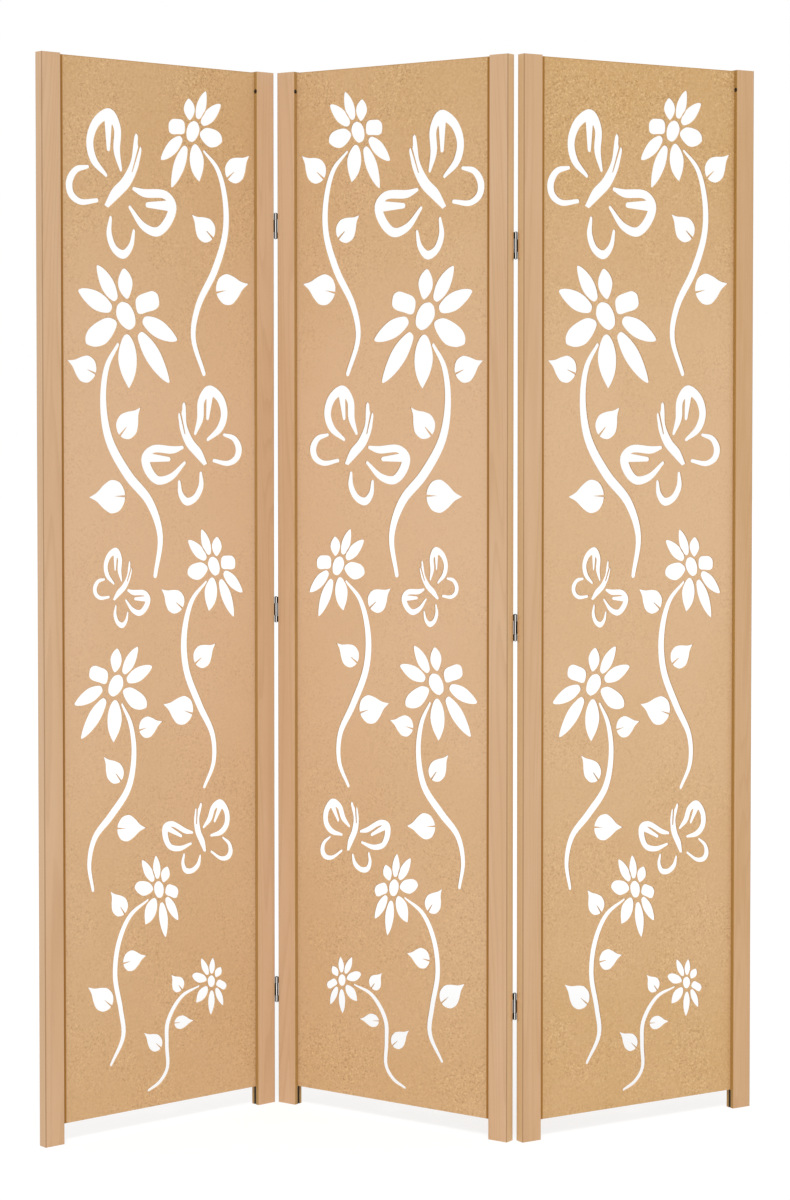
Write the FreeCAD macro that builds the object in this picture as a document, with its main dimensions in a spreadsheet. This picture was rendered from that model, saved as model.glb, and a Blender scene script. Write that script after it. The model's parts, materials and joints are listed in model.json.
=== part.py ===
"""Three-panel folding room screen: six grooved posts, three fret-cut sheets and six pin hinges.

Millimetres, +Z up, +X to the viewer's right and +Y away from the viewer. The origin lies on the floor,
under the middle of the screen as it stands. The panels zigzag: the left fold opens towards the viewer,
the right fold away from them. All three panels are the same panel. The middle one is turned back to front.
"""
import FreeCAD, Part
import Sketcher
import math
import os

# driving sizes, one spreadsheet cell each: millimetres, and degrees where the name says so
SIZES = {
    "panel_height": 1700.0,
    "panel_width": 450.0,
    "post_width": 35.0,
    "post_depth": 18.0,
    "post_arris": 1.0,
    "groove_depth": 10.0,
    "groove_play": 0.1,
    "sheet_thickness": 2.5,
    "sheet_side_play": 0.5,
    "sheet_top_inset": 1.0,
    "sheet_floor_gap": 30.0,
    "hinge_height": 41.5,
    "hinge_leaf_thickness": 1.0,
    "hinge_leaf_reach": 7.0,
    "knuckle_radius": 2.5,
    "knuckle_proud": 1.0,
    "knuckle_gap": 0.3,
    "outer_knuckle_length": 10.3,
    "pin_radius": 1.45,
    "pin_play": 0.05,
    "pin_end_proud": 1.0,
    "left_hinge_low": 188.0,
    "left_hinge_top_inset": 250.0,
    "right_hinge_low": 212.0,
    "right_hinge_top_inset": 296.0,
    "middle_turn_deg": 35.0,
    "left_fold_deg": 75.0,
    "right_fold_deg": 66.0,
}
HINGE_LEVELS = ("bottom", "middle", "top")
KNUCKLE_FACETS = 12
SAME_PLACE = 1e-6

# the side of a rectangle as first drawn, before expressions size it
DRAWN_SIDE = 1.0

# The fretwork is laid out in shares of the sheet's open width: x from the left, z up from its lower edge.
# A motif is drawn once in its own frame. Each spot gives its middle, its right mark, its upper mark and how
# full its cuts are against the widths in the motif.
PATTERN_HEIGHT_SHARE = 4.39

# a petal or leaf from end to end: how far along, and how wide there as a share of half its width
petal_outline_shares = [(0.0, 0.0), (0.34, 1.0), (0.72, 0.86), (1.0, 0.0)]
blunt_outline_shares = [(0.0, 0.42), (0.32, 1.0), (0.74, 0.94), (1.0, 0.40)]
leaf_outline_shares = [(0.0, 0.0), (0.20, 0.28), (0.54, 0.95), (0.87, 0.86), (1.0, 0.0)]

# petals round the flower's middle: inner end, outer end, width
pointed_petal_shares = [
    ((0.13, 0.28), (0.36, 0.85), 0.25),
    ((0.25, 0.16), (0.75, 0.59), 0.28),
    ((0.20, -0.05), (0.78, -0.17), 0.39),
    ((0.06, -0.27), (0.18, -1.04), 0.37),
    ((-0.17, -0.32), (-0.55, -1.17), 0.29),
    ((-0.27, -0.14), (-0.82, -0.60), 0.29),
]
blunt_petal_shares = [
    ((-0.23, 0.09), (-0.61, 0.09), 0.32),
    ((-0.07, 0.26), (-0.09, 0.68), 0.29),
    ((-0.08, -0.18), (0.09, 0.18), 0.32),
]
flower_spot_shares = [
    ((0.676, 4.118), (0.200, 0.006), (0.000, 0.202), 1.00),
    ((0.336, 3.333), (-0.273, -0.084), (-0.058, 0.275), 0.90),
    ((0.786, 2.273), (-0.182, 0.007), (-0.003, 0.184), 1.00),
    ((0.274, 1.794), (0.214, -0.078), (0.046, 0.214), 0.89),
    ((0.494, 0.915), (-0.152, 0.064), (0.043, 0.145), 1.00),
    ((0.766, 0.489), (-0.118, 0.070), (0.058, 0.089), 0.94),
]

# stems: points down the middle of the cut, with the width at each
stem_shares = [
    [(0.736, 4.038, 0.012), (0.806, 3.967, 0.024), (0.845, 3.850, 0.030), (0.848, 3.700, 0.033),
     (0.792, 3.537, 0.036), (0.704, 3.383, 0.032), (0.678, 3.250, 0.028), (0.733, 3.095, 0.022)],
    [(0.292, 3.212, 0.016), (0.238, 3.123, 0.027), (0.218, 2.980, 0.033), (0.246, 2.820, 0.041),
     (0.341, 2.670, 0.044), (0.450, 2.555, 0.041), (0.504, 2.410, 0.031), (0.478, 2.245, 0.022)],
    [(0.742, 2.208, 0.012), (0.668, 2.132, 0.024), (0.627, 1.990, 0.032), (0.637, 1.840, 0.034),
     (0.706, 1.682, 0.033), (0.775, 1.550, 0.027), (0.779, 1.430, 0.024), (0.731, 1.332, 0.017)],
    [(0.308, 1.712, 0.012), (0.350, 1.628, 0.023), (0.367, 1.500, 0.028), (0.338, 1.360, 0.033),
     (0.251, 1.253, 0.035), (0.169, 1.167, 0.029), (0.141, 1.060, 0.023), (0.159, 0.950, 0.016)],
    [(0.436, 0.878, 0.010), (0.346, 0.823, 0.022), (0.288, 0.718, 0.026), (0.268, 0.580, 0.026),
     (0.296, 0.432, 0.025), (0.308, 0.319, 0.024), (0.247, 0.208, 0.015)],
    [(0.700, 0.478, 0.008), (0.608, 0.445, 0.019), (0.537, 0.348, 0.024), (0.531, 0.250, 0.022),
     (0.533, 0.151, 0.020), (0.494, 0.098, 0.018), (0.436, 0.070, 0.012)],
]

# leaves: tip, rounded end, width
leaf_shares = [
    ((0.978, 4.034), (0.858, 3.929), 0.106),
    ((0.670, 3.769), (0.783, 3.671), 0.106),
    ((0.972, 3.483), (0.798, 3.441), 0.132),
    ((0.043, 3.145), (0.183, 3.091), 0.112),
    ((0.407, 2.954), (0.300, 2.834), 0.112),
    ((0.146, 2.581), (0.328, 2.582), 0.138),
    ((0.508, 2.187), (0.619, 2.100), 0.100),
    ((0.793, 1.942), (0.683, 1.862), 0.100),
    ((0.517, 1.699), (0.671, 1.649), 0.122),
    ((0.514, 1.627), (0.393, 1.598), 0.090),
    ((0.213, 1.503), (0.302, 1.392), 0.086),
    ((0.427, 1.184), (0.280, 1.196), 0.110),
    ((0.246, 0.936), (0.318, 0.832), 0.083),
    ((0.427, 0.643), (0.308, 0.625), 0.087),
    ((0.132, 0.548), (0.251, 0.453), 0.096),
    ((0.554, 0.546), (0.611, 0.473), 0.066),
    ((0.673, 0.333), (0.569, 0.337), 0.057),
    ((0.413, 0.317), (0.502, 0.240), 0.070),
]

# butterfly: looped wings, each with a tine let in from its bend, then the plain cuts, then the body
wing_line_shares = [
    [(-0.30, 0.18, 0.06), (-0.55, 0.42, 0.13), (-0.62, 0.72, 0.14), (-0.48, 1.03, 0.15),
     (-0.22, 1.16, 0.16), (-0.07, 0.94, 0.14), (-0.08, 0.58, 0.13), (0.00, 0.28, 0.06)],
    [(0.26, -0.02, 0.06), (0.46, -0.08, 0.12), (0.92, -0.10, 0.13), (1.06, -0.27, 0.16),
     (0.96, -0.53, 0.16), (0.74, -0.70, 0.14), (0.46, -0.62, 0.12), (0.18, -0.32, 0.06)],
]
wing_tine_shares = [
    ((-0.25, 1.14), (-0.25, 0.60), 0.08),
    ((1.02, -0.27), (0.54, -0.27), 0.09),
]
hind_line_shares = [
    [(-0.66, 0.30, 0.05), (-0.90, 0.24, 0.10), (-1.03, 0.05, 0.13), (-1.00, -0.14, 0.12),
     (-0.82, -0.26, 0.09), (-0.48, -0.23, 0.06)],
    [(-0.21, -0.50, 0.06), (-0.24, -0.76, 0.11), (-0.13, -1.00, 0.12), (0.05, -1.08, 0.13),
     (0.20, -0.94, 0.10), (0.26, -0.70, 0.06)],
]
body_line_shares = [(-0.32, -0.30, 0.08), (-0.12, -0.12, 0.19), (0.10, 0.08, 0.20), (0.28, 0.38, 0.18)]
antenna_shares = [(0.28, 0.86), (0.35, 0.86), (0.36, 0.68), (0.42, 0.64)]
butterfly_spot_shares = [
    ((0.310, 3.866), (0.247, 0.003), (0.000, 0.258), 1.10),
    ((0.680, 2.782), (-0.229, 0.017), (0.025, 0.213), 1.20),
    ((0.306, 2.193), (0.128, -0.007), (0.002, 0.138), 1.30),
    ((0.708, 1.121), (-0.153, 0.087), (0.064, 0.132), 1.20),
]


def write_sizes(doc):
    """The spreadsheet of driving sizes."""
    sheet = doc.addObject("Spreadsheet::Sheet", "Sizes")
    for row, (name, value) in enumerate(SIZES.items(), start=1):
        sheet.set(f"A{row}", name)
        sheet.set(f"B{row}", str(value))
        sheet.setAlias(f"B{row}", name)
    doc.recompute()
    return sheet


doc = FreeCAD.newDocument("folding_screen")
sheet = write_sizes(doc)


def size(name):
    """A driving size, read back from the spreadsheet."""
    return float(sheet.get(name))


def cell(name):
    """A driving size as it is written in an expression."""
    return "Sizes." + name


# sizes that follow from the driving ones
GROOVE_WIDTH = f"({cell('sheet_thickness')} + 2 * {cell('groove_play')})"
SHEET_WIDTH = (f"({cell('panel_width')} - 2 * {cell('post_width')}"
               f" + 2 * {cell('groove_depth')} - 2 * {cell('sheet_side_play')})")
SHEET_HEIGHT = f"({cell('panel_height')} - {cell('sheet_top_inset')} - {cell('sheet_floor_gap')})"
open_width = size("panel_width") - 2 * size("post_width")
sheet_margin = size("groove_depth") - size("sheet_side_play")
sheet_height = size("panel_height") - size("sheet_top_inset") - size("sheet_floor_gap")
bore_radius = size("pin_radius") + size("pin_play")
knuckle_clear = size("knuckle_radius") + size("knuckle_gap")


def new_body(label):
    body = doc.addObject("PartDesign::Body", label)
    body.Label = label
    return body


def new_sketch(body, name, role, lift="0"):
    """A sketch on one of the body's own origin planes, raised along its normal by an expression."""
    sketch = body.newObject("Sketcher::SketchObject", name)
    plane = next(p for p in body.Origin.OriginFeatures if p.Role == role)
    sketch.AttachmentSupport = [(plane, "")]
    sketch.MapMode = "FlatFace"
    sketch.setExpression(".AttachmentOffset.Base.z", lift)
    return sketch


def add_rectangle(sketch, left, low, width, height):
    """A rectangle whose lower left corner and two sides are bound to expressions."""
    corners = [FreeCAD.Vector(x, y, 0) * DRAWN_SIDE for x, y in ((0, 0), (1, 0), (1, 1), (0, 1))]
    first = sketch.GeometryCount
    sketch.addGeometry([Part.LineSegment(a, b) for a, b in zip(corners, corners[1:] + corners[:1])], False)
    bottom, right, top, side = range(first, first + 4)
    for one, other in ((bottom, right), (right, top), (top, side), (side, bottom)):
        sketch.addConstraint(Sketcher.Constraint("Coincident", one, 2, other, 1))
    for line, kind in ((bottom, "Horizontal"), (top, "Horizontal"), (right, "Vertical"), (side, "Vertical")):
        sketch.addConstraint(Sketcher.Constraint(kind, line))
    bound = (
        (Sketcher.Constraint("DistanceX", bottom, 1, bottom, 2, DRAWN_SIDE), width),
        (Sketcher.Constraint("DistanceY", right, 1, right, 2, DRAWN_SIDE), height),
        (Sketcher.Constraint("DistanceX", -1, 1, bottom, 1, 0.0), left),
        (Sketcher.Constraint("DistanceY", -1, 1, bottom, 1, 0.0), low),
    )
    for constraint, expression in bound:
        index = sketch.addConstraint(constraint)
        sketch.setExpression(f"Constraints[{index}]", expression)


def pad(body, name, sketch, length, reverse=False):
    feature = body.newObject("PartDesign::Pad", name)
    feature.Profile = sketch
    feature.setExpression("Length", length)
    feature.Reversed = reverse
    return feature


# fretwork outlines, as lists of points

def spindle(inner, outer, width, outline):
    """A petal or leaf between two ends: one side there, the other side back, one point where it has no width."""
    (ax, az), (bx, bz) = inner, outer
    run = math.dist(inner, outer)
    across = ((az - bz) / run * width / 2, (bx - ax) / run * width / 2)
    middle = [(ax + (bx - ax) * along, az + (bz - az) * along, wide) for along, wide in outline]
    there = [(x + across[0] * wide, z + across[1] * wide) for x, z, wide in middle]
    back = [(x - across[0] * wide, z - across[1] * wide) for x, z, wide in reversed(middle) if wide > 0]
    return there + back


def stroke_sides(line):
    """The two sides of a cut that follows a line of points, each with its width, mitred where it turns."""
    runs = []
    for (ax, az, _), (bx, bz, _) in zip(line, line[1:]):
        run = math.dist((ax, az), (bx, bz))
        runs.append(((bx - ax) / run, (bz - az) / run))
    left, right = [], []
    for (x, z, width), (bx, bz), (ax, az) in zip(line, runs[:1] + runs, runs + runs[-1:]):
        mitre = width / (2 * (1 + bx * ax + bz * az))
        across = (-(bz + az) * mitre, (bx + ax) * mitre)
        left.append((x + across[0], z + across[1]))
        right.append((x - across[0], z - across[1]))
    return left, right


def stroke(line):
    left, right = stroke_sides(line)
    return left + right[::-1]


def crossing(side, start, end):
    """Where a straight cut from start to end meets a side: its place along the side, and the point."""
    dx, dz = end[0] - start[0], end[1] - start[1]
    for i, ((ax, az), (bx, bz)) in enumerate(zip(side, side[1:])):
        turn = dx * (bz - az) - dz * (bx - ax)
        if turn == 0:
            continue
        along_cut = ((ax - start[0]) * (bz - az) - (az - start[1]) * (bx - ax)) / turn
        along_side = ((ax - start[0]) * dz - (az - start[1]) * dx) / turn
        if 0 <= along_cut <= 1 and 0 <= along_side <= 1:
            return i + along_side, (start[0] + dx * along_cut, start[1] + dz * along_cut)
    raise ValueError("the tine doesn't meet the side of its stroke")


def with_tine(side, root, tip, width):
    """A side of a stroke with a narrow tine let into it, from its root inside the stroke to its tip."""
    run = math.dist(root, tip)
    across = ((root[1] - tip[1]) / run * width / 2, (tip[0] - root[0]) / run * width / 2)
    hits = []
    for way in (-1, 1):
        start = (root[0] + way * across[0], root[1] + way * across[1])
        end = (tip[0] + way * across[0], tip[1] + way * across[1])
        hits.append((*crossing(side, start, end), end))
    (first, enter, tip_in), (last, leave, tip_out) = sorted(hits)
    return side[:int(first) + 1] + [enter, tip_in, tip_out, leave] + side[int(last) + 1:]


def flower(fullness):
    """A flower's eight petals and its middle, in its own frame."""
    petals = ((pointed_petal_shares, petal_outline_shares), (blunt_petal_shares, blunt_outline_shares))
    return [spindle(inner, outer, width * fullness, outline)
            for shares, outline in petals for inner, outer, width in shares]


def fuller(line, fullness):
    """A line of points with its widths changed."""
    return [(x, z, width * fullness) for x, z, width in line]


def butterfly(fullness):
    """A butterfly's five cuts, in its own frame."""
    cuts = [stroke(fuller(line, fullness)) for line in hind_line_shares]
    for line, (root, tip, width) in zip(wing_line_shares, wing_tine_shares):
        left, right = stroke_sides(fuller(line, fullness))
        cuts.append(left + with_tine(right, root, tip, width)[::-1])
    left, right = stroke_sides(body_line_shares)
    cuts.append(left + antenna_shares + right[::-1])
    return cuts


def placed(cut, middle, right, up):
    """A cut carried from its motif's frame to the sheet."""
    return [tuple(middle[k] + x * right[k] + z * up[k] for k in (0, 1)) for x, z in cut]


def fretwork():
    """Every opening of a sheet, in shares of its open width."""
    cuts = []
    for motif, spots in ((flower, flower_spot_shares), (butterfly, butterfly_spot_shares)):
        for *marks, fullness in spots:
            cuts += [placed(cut, *marks) for cut in motif(fullness)]
    cuts += [stroke(line) for line in stem_shares]
    cuts += [spindle(tip, end, width, leaf_outline_shares) for tip, end, width in leaf_shares]
    return cuts


def make_post(label):
    """A post standing on its own corner, with its groove in the far X face and its long edges eased."""
    body = new_body(label)
    outline = new_sketch(body, label + "_section", "XY_Plane")
    add_rectangle(outline, "0", "0", cell("post_width"), cell("post_depth"))
    stick = pad(body, label + "_stick", outline, cell("panel_height"))
    slot = new_sketch(body, label + "_slot", "XY_Plane")
    add_rectangle(slot, f"{cell('post_width')} - {cell('groove_depth')}",
                  f"({cell('post_depth')} - {GROOVE_WIDTH}) / 2", cell("groove_depth"), GROOVE_WIDTH)
    groove = body.newObject("PartDesign::Pocket", label + "_groove")
    groove.Profile = slot
    groove.Type = "ThroughAll"
    groove.Reversed = True
    doc.recompute()
    check_less(groove, stick)
    eased = body.newObject("PartDesign::Chamfer", label + "_arris")
    eased.Base = (groove, long_corner_edges(groove.Shape))
    eased.setExpression("Size", cell("post_arris"))
    doc.recompute()
    check_less(eased, groove)
    return body


def check_less(feature, base):
    """Stops the build where a cut took nothing away."""
    if feature.Shape.Volume >= base.Shape.Volume:
        raise ValueError(feature.Name + " cuts nothing")


def long_corner_edges(shape):
    """Names of the upright edges at the four outer corners."""
    box = shape.BoundBox
    names = []
    for number, edge in enumerate(shape.Edges, start=1):
        a, b = edge.Vertexes[0].Point, edge.Vertexes[-1].Point
        upright = math.isclose(a.x, b.x) and math.isclose(a.y, b.y)
        at_side = any(math.isclose(a.x, x, abs_tol=SAME_PLACE) for x in (box.XMin, box.XMax))
        at_face = any(math.isclose(a.y, y, abs_tol=SAME_PLACE) for y in (box.YMin, box.YMax))
        if upright and at_side and at_face:
            names.append(f"Edge{number}")
    return names


def make_sheet(label):
    """A fret-cut sheet: X across from its hidden left edge, Y through its thickness, Z up from its lower edge."""
    body = new_body(label)
    outline = new_sketch(body, label + "_outline", "XZ_Plane")
    add_rectangle(outline, "0", "0", SHEET_WIDTH, SHEET_HEIGHT)
    unit = min(open_width, sheet_height / PATTERN_HEIGHT_SHARE)
    left = sheet_margin + (open_width - unit) / 2
    low = (sheet_height - unit * PATTERN_HEIGHT_SHARE) / 2
    for cut in fretwork():
        add_outline(outline, [(left + x * unit, low + z * unit) for x, z in cut])
    pad(body, label + "_board", outline, cell("sheet_thickness"), reverse=True)
    return body


def clone(label, original):
    """A second piece of the same shape."""
    body = new_body(label)
    copy = doc.addObject("PartDesign::FeatureBase", label + "_clone")
    copy.BaseFeature = original
    body.Group = [copy]
    body.Tip = copy
    return body


def facets(radius, middle_x, middle_y, start_deg=0.0):
    """The corners of a knuckle's round, as the facets its strip is rolled in."""
    turns = [math.radians(start_deg) + 2 * math.pi * k / KNUCKLE_FACETS for k in range(KNUCKLE_FACETS)]
    return [(middle_x + radius * math.cos(turn), middle_y + radius * math.sin(turn)) for turn in turns]


def knuckle_outlines():
    """A rolled knuckle with the neck that joins it to its leaf, and its bore, for a leaf that stands out along +X."""
    radius, thickness = size("knuckle_radius"), size("hinge_leaf_thickness")
    pin_y = -size("knuckle_proud")
    neck_y = pin_y + knuckle_clear
    ring = facets(radius, radius, pin_y, 180)
    back = next(k for k in range(KNUCKLE_FACETS // 2, KNUCKLE_FACETS) if ring[k][0] < thickness)
    (ax, ay), (bx, by) = ring[back - 1], ring[back]
    meet_y = ay + (by - ay) * (ax - thickness) / (ax - bx)
    outer = ring[:back] + [(thickness, meet_y), (thickness, neck_y), (0, neck_y)]
    bore = facets(bore_radius / math.cos(math.pi / KNUCKLE_FACETS), radius, pin_y)
    return outer, bore


def add_outline(sketch, points):
    """A closed outline of straight runs."""
    corners = [FreeCAD.Vector(x, y, 0) for x, y in points]
    sketch.addGeometry([Part.LineSegment(a, b) for a, b in zip(corners, corners[1:] + corners[:1])], False)


def make_leaf(label, side, outer_knuckles):
    """A hinge leaf on the post's edge face at X 0, standing out to one side of it, with its knuckles in front."""
    body = new_body(label)
    thickness, height = cell("hinge_leaf_thickness"), cell("hinge_height")
    neck = f"({cell('knuckle_radius')} + {cell('knuckle_gap')} - {cell('knuckle_proud')})"
    plate = new_sketch(body, label + "_plate", "XY_Plane")
    add_rectangle(plate, "0" if side > 0 else "-" + thickness, neck, thickness,
                  f"{cell('hinge_leaf_reach')} - {neck}")
    pad(body, label + "_strip", plate, height)
    outer = cell("outer_knuckle_length")
    if outer_knuckles:
        knuckles = (("low", "0", outer), ("high", f"{height} - {outer}", outer))
    else:
        ends = f"({outer} + {cell('knuckle_gap')})"
        knuckles = (("mid", ends, f"{height} - 2 * {ends}"),)
    for name, foot, length in knuckles:
        ring = new_sketch(body, f"{label}_ring_{name}", "XY_Plane", foot)
        for outline in knuckle_outlines():
            add_outline(ring, [(side * x, y) for x, y in outline])
        pad(body, f"{label}_knuckle_{name}", ring, length)
    return body


def make_pin(label):
    """A hinge pin on its own axis."""
    pin = doc.addObject("Part::Cylinder", label)
    pin.Label = label
    pin.setExpression("Radius", cell("pin_radius"))
    pin.setExpression("Height", f"{cell('hinge_height')} + 2 * {cell('pin_end_proud')}")
    return pin


UP = FreeCAD.Vector(0, 0, 1)


def place(x, y, z=0.0, turn=0.0):
    return FreeCAD.Placement(FreeCAD.Vector(x, y, z), FreeCAD.Rotation(UP, turn))


def panel_places():
    """Where each panel's lower left front corner stands, and the two fold axes, before the origin is moved."""
    width, depth = size("panel_width"), size("post_depth")
    reach, proud = size("knuckle_radius"), size("knuckle_proud")
    middle = place(0, 0, turn=-size("middle_turn_deg"))
    left_axis = middle.multVec(FreeCAD.Vector(-reach, -proud, 0))
    right_axis = middle.multVec(FreeCAD.Vector(width + reach, depth + proud, 0))
    left_turn = size("left_fold_deg") - size("middle_turn_deg")
    right_turn = size("right_fold_deg") - size("middle_turn_deg")
    left = place(*left_axis[:2], turn=left_turn) * place(-width - reach, proud)
    right = place(*right_axis[:2], turn=right_turn) * place(reach, -depth - proud)
    return {"left": left, "middle": middle, "right": right}, {"left": left_axis, "right": right_axis}


def build_panels(panels):
    """The posts and sheets, each with its placement. The middle panel's sheet is turned back to front."""
    turned = place(size("panel_width"), size("post_depth"), turn=180)
    seat = place(size("post_width") - sheet_margin, (size("post_depth") - size("sheet_thickness")) / 2,
                 size("sheet_floor_gap"))
    posts = {"left": ("outer", "hinge"), "middle": ("left", "right"), "right": ("hinge", "outer")}
    pieces = []
    first_sheet = make_sheet("left_fret_sheet")
    for panel, (first, second) in posts.items():
        here = panels[panel]
        pieces.append((make_post(f"{panel}_panel_{first}_post"), here))
        pieces.append((make_post(f"{panel}_panel_{second}_post"), here * turned))
        fret_sheet = first_sheet if panel == "left" else clone(f"{panel}_fret_sheet", first_sheet)
        pieces.append((fret_sheet, (here * turned if panel == "middle" else here) * seat))
    return pieces


def build_hinges(panels, axes):
    """The leaves and pins, each with its placement. The middle panel carries the pinned leaves of both folds."""
    width, depth = size("panel_width"), size("post_depth")
    turned = place(width, depth, turn=180)
    seats = {
        "left": (panels["left"] * place(width, 0), panels["middle"]),
        "right": (panels["right"] * place(0, depth, turn=180), panels["middle"] * turned),
    }
    pieces = []
    for fold, (plain_seat, pinned_seat) in seats.items():
        axis = FreeCAD.Placement(axes[fold], FreeCAD.Rotation())
        low = size(f"{fold}_hinge_low")
        pitch = (size("panel_height") - size(f"{fold}_hinge_top_inset") - low) / (len(HINGE_LEVELS) - 1)
        for number, level in enumerate(HINGE_LEVELS):
            foot = low + number * pitch - size("hinge_height") / 2
            name = f"{fold}_fold_{level}"
            pieces.append((make_leaf(name + "_plain_leaf", 1, False), plain_seat * place(0, 0, foot)))
            pieces.append((make_leaf(name + "_pinned_leaf", -1, True), pinned_seat * place(0, 0, foot)))
            pieces.append((make_pin(name + "_pin"), axis * place(0, 0, foot - size("pin_end_proud"))))
    return pieces


def settle(pieces, axes):
    """Moves the origin to the floor under the middle of the whole screen."""
    for piece, where in pieces:
        piece.Placement = where
    doc.recompute()
    box = FreeCAD.BoundBox()
    for piece, _ in pieces:
        box.add(piece.Shape.BoundBox)
    shift = FreeCAD.Vector(-box.Center.x, -box.Center.y, -box.ZMin)
    for piece, where in pieces:
        piece.Placement = FreeCAD.Placement(where.Base + shift, where.Rotation)
    doc.recompute()
    return {fold: axis + shift for fold, axis in axes.items()}


def check(pieces):
    """Stops the build if anything in the document failed."""
    for item in doc.Objects:
        if "Invalid" in item.State or "Error" in item.State:
            raise ValueError(item.Name + " failed")
    for piece, _ in pieces:
        if piece.Shape.isNull() or not piece.Shape.isValid():
            raise ValueError(piece.Label + " has no valid shape")


panels, axes = panel_places()
pieces = build_panels(panels) + build_hinges(panels, axes)
axes = settle(pieces, axes)
check(pieces)
os.makedirs("parts", exist_ok=True)
for piece, _ in pieces:
    piece.Shape.exportStep(f"parts/{piece.Label}.step")
for fold, axis in axes.items():
    print(f"{fold} fold axis at x {axis.x:.4f}, y {axis.y:.4f}")
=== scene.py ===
"""Looks of a three-panel folding screen, in metres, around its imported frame.

Each panel has a frame of its own: X along the panel from its left end, Y away from the viewer and Z up,
with the origin at the foot of its left post's front corner.
"""
import json
import math
import bmesh
import bpy
import numpy as np
from mathutils import Matrix, Vector


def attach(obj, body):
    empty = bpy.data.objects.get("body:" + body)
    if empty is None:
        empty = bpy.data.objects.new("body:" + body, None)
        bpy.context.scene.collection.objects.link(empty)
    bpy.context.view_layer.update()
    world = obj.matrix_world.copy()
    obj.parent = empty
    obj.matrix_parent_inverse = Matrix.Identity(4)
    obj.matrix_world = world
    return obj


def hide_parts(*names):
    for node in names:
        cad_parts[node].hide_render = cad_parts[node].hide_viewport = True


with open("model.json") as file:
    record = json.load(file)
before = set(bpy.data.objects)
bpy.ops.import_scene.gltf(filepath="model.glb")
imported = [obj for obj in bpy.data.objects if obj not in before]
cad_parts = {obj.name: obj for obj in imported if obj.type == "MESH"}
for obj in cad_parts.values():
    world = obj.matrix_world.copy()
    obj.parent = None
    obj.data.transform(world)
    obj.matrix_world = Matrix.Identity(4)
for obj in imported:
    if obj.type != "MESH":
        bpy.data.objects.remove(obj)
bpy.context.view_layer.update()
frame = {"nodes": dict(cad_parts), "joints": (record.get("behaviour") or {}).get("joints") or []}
MM = 0.001

# sizes that the frame's parts share
PANEL_WIDTH = 450 * MM
PANEL_HEIGHT = 1700 * MM
POST_WIDTH = 35 * MM
POST_DEPTH = 18 * MM
GROOVE_DEPTH = 10 * MM
SHEET_THICKNESS = 2.5 * MM
SHEET_SIDE_PLAY = 0.5 * MM
SHEET_LOW = 30 * MM
SHEET_TOP_INSET = 1 * MM
SHEET_ARRIS = 0.25 * MM
HINGE_HEIGHT = 41.5 * MM
LEAF_THICKNESS = 1 * MM
LEAF_REACH = 7 * MM
KNUCKLE_RADIUS = 2.5 * MM
KNUCKLE_PROUD = 1 * MM
KNUCKLE_GAP = 0.3 * MM
OUTER_KNUCKLE = 10.3 * MM
PIN_RADIUS = 1.45 * MM
PIN_END_PROUD = 1 * MM
HINGE_LEVELS = ("bottom", "middle", "top")
LOWEST_HINGE = {"left": 188 * MM, "right": 212 * MM}
HIGHEST_HINGE = {"left": PANEL_HEIGHT - 250 * MM, "right": PANEL_HEIGHT - 296 * MM}
PANEL_TURNS_DEG = {"left": 40, "middle": -35, "right": 31}

# small parts that only the looks have
HINGE_ARRIS = 0.12 * MM
LEAF_ROOT = KNUCKLE_RADIUS + KNUCKLE_GAP - KNUCKLE_PROUD
LEAF_CORNER = 1.5 * MM
CORNER_STEPS = 6
KNUCKLE_ROLL_DEG = 300
KNUCKLE_STEPS = 30
PIN_HEAD_RADIUS = 2.2 * MM
PIN_DOME = 0.5 * MM
PIN_DOME_STEPS = 5
PIN_STEPS = 32
SCREW_RADIUS = 1.6 * MM
SCREW_CROWN_SHARE = 0.8
SCREW_PROUD = 0.25 * MM
SCREW_STEPS = 24
SCREW_SLOT_ARM_SHARE = 0.62
SCREW_SLOT_HALF_SHARE = 0.16
SCREW_SLOT_DEPTH = 0.5 * MM
SCREW_INSET = 10 * MM
SHEET_PIN_RADIUS = 3.5 * MM
SHEET_PIN_PROUD = 1.2 * MM
SHEET_PIN_DOWN = 32 * MM
SHEET_PIN_IN = 3.6 * MM
SHEET_PIN_DOME_STEPS = 6
SHEET_PIN_STEPS = 24
SMOOTH_UP_TO_DEG = 35

# the camera that the photograph's post corners fit
IMAGE_HEIGHT_PX = 1200
FOCAL_PX = 2800
CENTRE_ABOVE_MIDDLE_PX = 100
CAMERA_PLACE = (-15.4 * MM, -4475.3 * MM, 1153 * MM)
CAMERA_DOWN_DEG = 1.905
SENSOR_HEIGHT_MM = 24


# fretwork, in shares of the sheet's open width: x from the left, z up from its lower edge

PATTERN_HEIGHT_SHARE = 4.39
CURVE_STEPS = 6
CAP_STEPS = 6

# petals from end to end: how far along, and how wide there to the left and to the right of half the width
long_petal_shares = [
    (0.00, 0.30, 0.34), (0.18, 0.78, 0.82), (0.45, 1.00, 1.00), (0.76, 0.76, 0.66), (0.95, 0.34, 0.24),
    (1.00, 0.10, 0.06),
]
round_petal_shares = [
    (0.00, 0.20, 0.10), (0.18, 0.80, 0.62), (0.50, 1.00, 0.98), (0.80, 0.88, 0.68), (0.95, 0.52, 0.26),
    (1.00, 0.12, 0.02),
]
drop_petal_shares = [
    (0.00, 0.22, 0.22), (0.15, 0.70, 0.72), (0.42, 1.00, 1.00), (0.70, 0.74, 0.86), (0.90, 0.30, 0.42),
    (1.00, 0.03, 0.03),
]
square_petal_shares = [
    (0.00, 0.70, 0.56), (0.14, 0.95, 0.92), (0.42, 0.97, 1.00), (0.78, 1.00, 0.94), (0.95, 0.78, 0.60),
    (1.00, 0.45, 0.32),
]
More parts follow.
